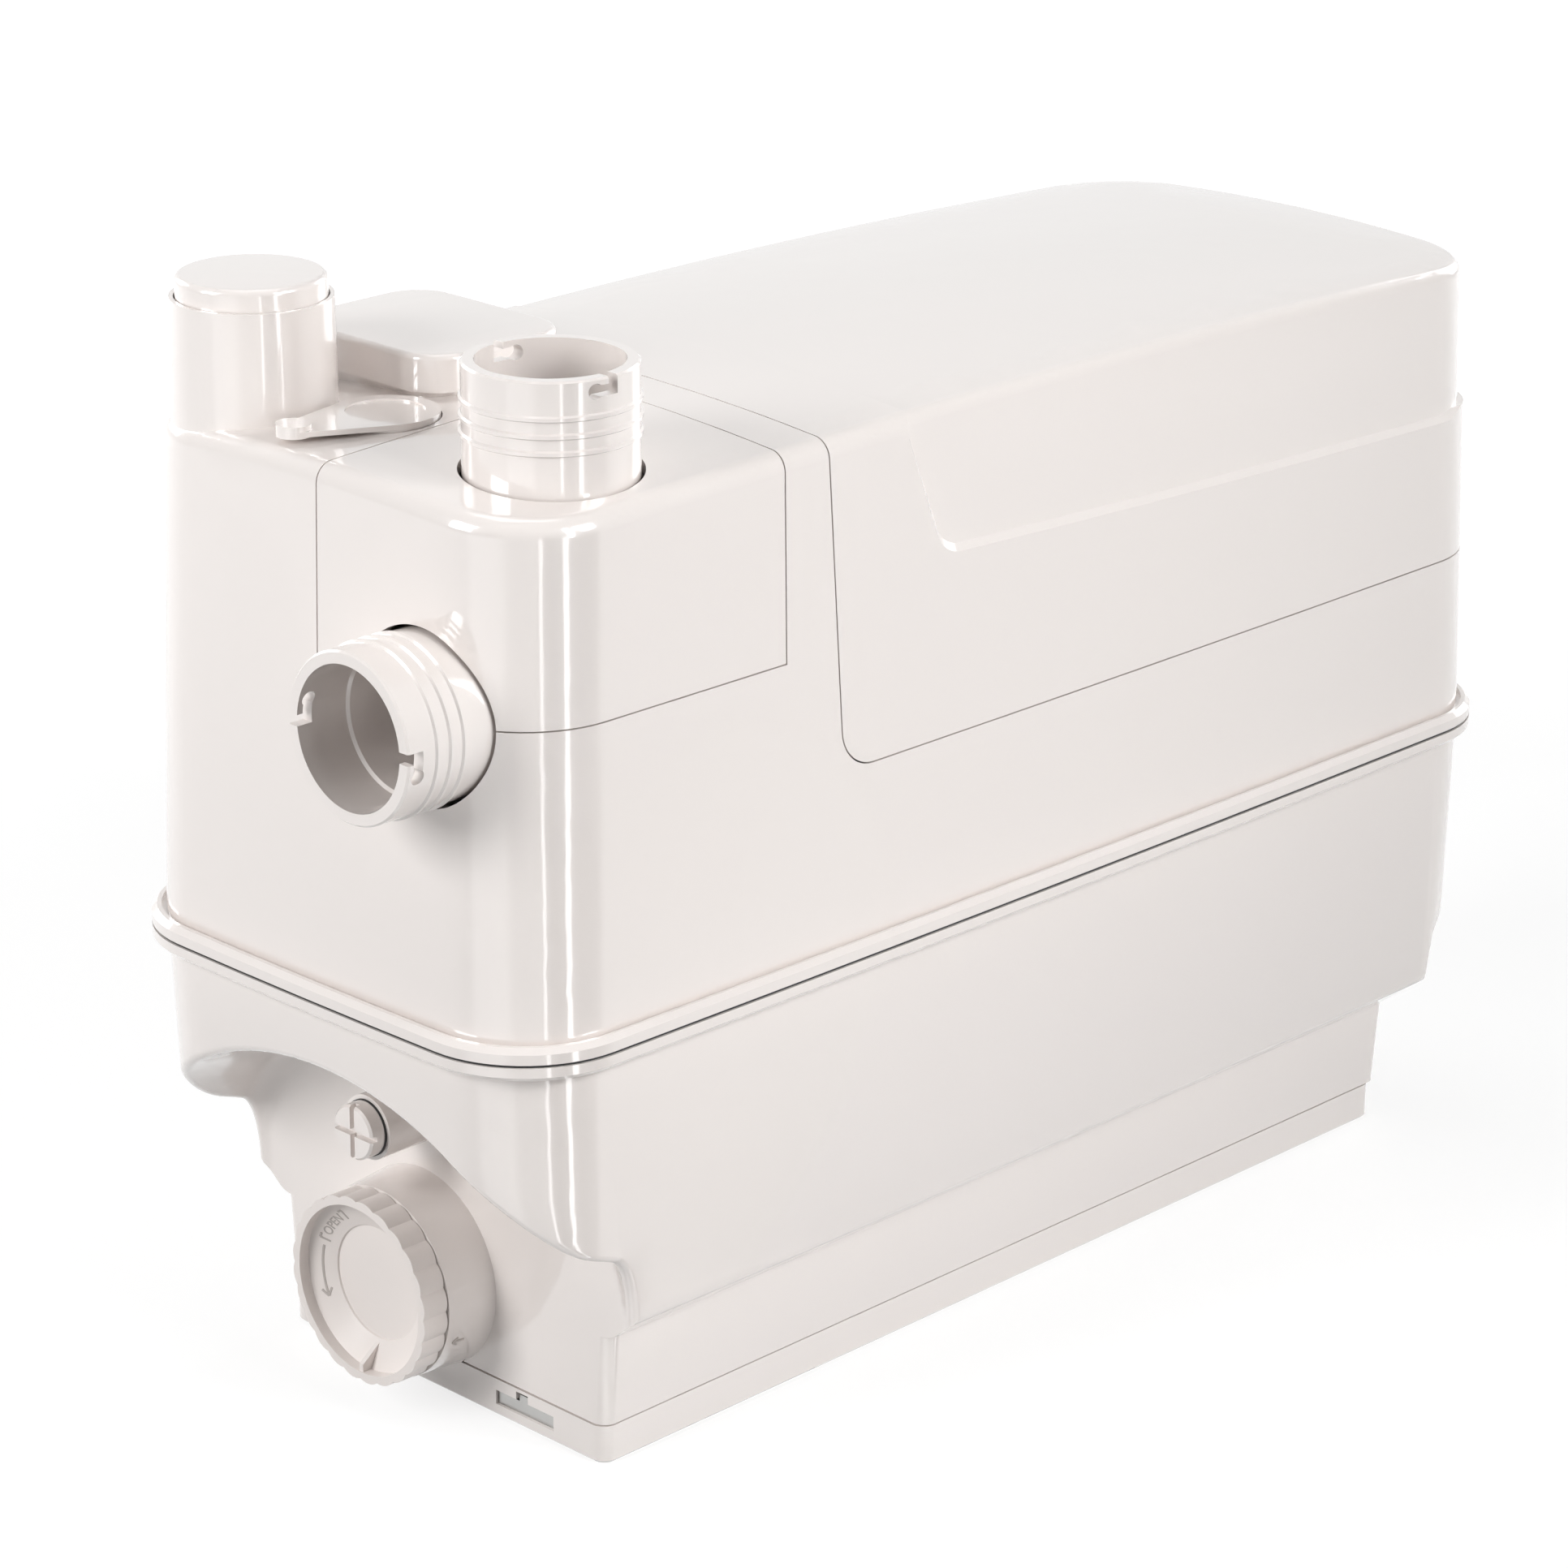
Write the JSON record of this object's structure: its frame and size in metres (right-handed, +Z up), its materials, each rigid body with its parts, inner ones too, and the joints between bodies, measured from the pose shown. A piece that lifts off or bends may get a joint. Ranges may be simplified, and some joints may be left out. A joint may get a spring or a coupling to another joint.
{
  "type": "wastewater lifting station",
  "caption": "Compact moulded wastewater lifting station with a tank, motor hood, hose inlets, capped discharge riser, roof lever, low port cap and drain plug.",
  "frame": {"origin": "on the floor, under the middle of the rim where the tank meets the casing", "axes": "+X runs along the length, away from the inlet end; +Z is up"},
  "size_m": [0.3998, 0.1586, 0.29],
  "materials": {
    "shell": "glossy moulded",
    "grey_plastic": "satin moulded",
    "black_plastic": "satin moulded",
    "red_plastic": "satin moulded",
    "board": "lacquered board",
    "carbon": "carbon foam",
    "rubber": "moulded rubber",
    "steel": "bright",
    "cast_alloy": "cast",
    "copper": "lacquered winding"
  },
  "bodies": {
    "base": {"tank": "shell", "foot_frame": "shell", "floor_clips": "steel", "rim_seal": "rubber", "casing": "shell", "inlet_tee": "grey_plastic", "top_inlet_spigot": "shell", "end_inlet_spigot": "shell", "top_spigot_seal": "rubber", "end_spigot_seal": "rubber", "carbon_filter": "carbon", "pump_volute": "grey_plastic", "volute_cover": "grey_plastic", "suction_strainer": "grey_plastic", "pump_column": "grey_plastic", "shaft_seal": "rubber", "lower_bearing": "steel", "motor_housing": "cast_alloy", "stator": "copper", "upper_bearing": "steel", "motor_screws": "steel", "deck_screws": "steel", "discharge_pipe": "grey_plastic", "valve_body": "grey_plastic", "outlet_pipe": "grey_plastic", "pressure_bell": "grey_plastic", "level_switch": "black_plastic", "control_box": "black_plastic", "control_board": "board", "control_lid": "black_plastic", "capacitor": "black_plastic", "plug_washer": "rubber"},
    "rotor": {"rotor_shaft": "steel", "rotor_core": "steel", "impeller": "grey_plastic"},
    "lever": {"drain_lever": "shell", "lever_spindle": "grey_plastic"},
    "flap": {"return_flap": "rubber", "flap_pin": "steel"},
    "cap_seal": {"low_port_seal": "rubber"},
    "cap": {"low_port_cap": "shell"},
    "plug": {"drain_plug": "shell"},
    "hood": {"motor_hood": "shell"},
    "saddle": {"inlet_cover": "shell"},
    "column_cap": {"riser_cap": "shell"},
    "vent": {"vent_cover": "shell"},
    "plunger": {"switch_plunger": "red_plastic"}
  },
  "joints": [
    {"name": "rotor_spin", "type": "hinge", "parent": "base", "child": "rotor", "pos_m": [0.04, 0, 0.1], "axis": [0, 0, 1], "continuous": true},
    {"name": "lever_turn", "type": "hinge", "parent": "base", "child": "lever", "pos_m": [-0.1496, 0.0129, 0.255], "axis": [0, 0, 1], "range_deg": [0, 80]},
    {"name": "flap_swing", "type": "hinge", "parent": "base", "child": "flap", "pos_m": [-0.162, 0.0342, 0.2035], "axis": [1, 0, 0], "range_deg": [0, 40]},
    {"name": "cap_pull", "type": "slide", "parent": "base", "child": "cap_seal", "axis": [-1, 0, 0], "range_m": [0, 0.03]},
    {"name": "cap_turn", "type": "hinge", "parent": "cap_seal", "child": "cap", "pos_m": [-0.167, 0.0065, 0.0338], "axis": [-1, 0, 0], "range_deg": [0, 45]},
    {"name": "plug_turn", "type": "hinge", "parent": "base", "child": "plug", "pos_m": [-0.168, 0.006, 0.078], "axis": [-1, 0, 0], "range_deg": [0, 90]},
    {"name": "hood_lift", "type": "slide", "parent": "base", "child": "hood", "axis": [0, 0, 1], "range_m": [0, 0.1]},
    {"name": "cover_lift", "type": "slide", "parent": "base", "child": "saddle", "axis": [0, 0, 1], "range_m": [0, 0.07]},
    {"name": "column_cap_lift", "type": "slide", "parent": "base", "child": "column_cap", "axis": [0, 0, 1], "range_m": [0, 0.02]},
    {"name": "vent_lift", "type": "slide", "parent": "base", "child": "vent", "axis": [0, 0, 1], "range_m": [0, 0.025]},
    {"name": "plunger_press", "type": "slide", "parent": "base", "child": "plunger", "axis": [0, 0, -1], "range_m": [0, 0.0015], "stiffness_N_per_m": 200}
  ]
}
